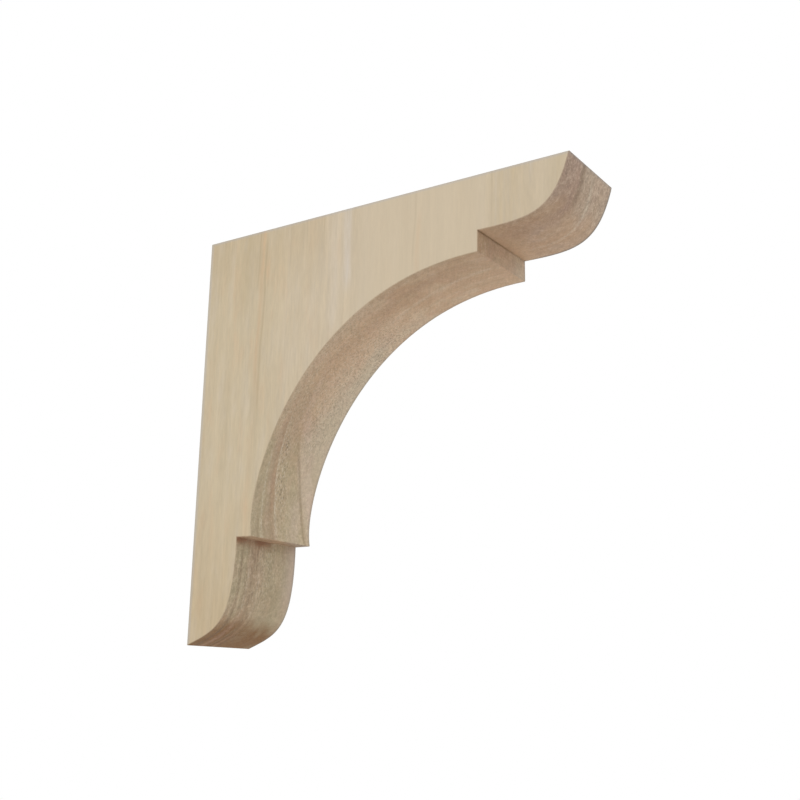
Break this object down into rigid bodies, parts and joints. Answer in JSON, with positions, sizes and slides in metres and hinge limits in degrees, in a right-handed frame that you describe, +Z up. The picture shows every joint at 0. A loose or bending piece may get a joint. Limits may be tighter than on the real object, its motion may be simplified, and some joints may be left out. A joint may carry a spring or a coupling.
{
  "type": "wooden corbel bracket",
  "caption": "Sawn wooden corbel with a flat back and a flat top, cut out in a long hollow arch between a rounded nose and a rounded foot, each set off by a small square step.",
  "frame": {"origin": "centre of the flat back, which lies against the wall", "axes": "+X out from the wall along the top, +Y across the bracket's width, +Z up the wall"},
  "size_m": [0.2032, 0.0444, 0.2032],
  "materials": {
    "bare_hardwood": "sanded smooth and left unfinished, grain upright"
  },
  "bodies": {
    "root": {"corbel_bracket": "bare_hardwood"}
  },
  "joints": []
}
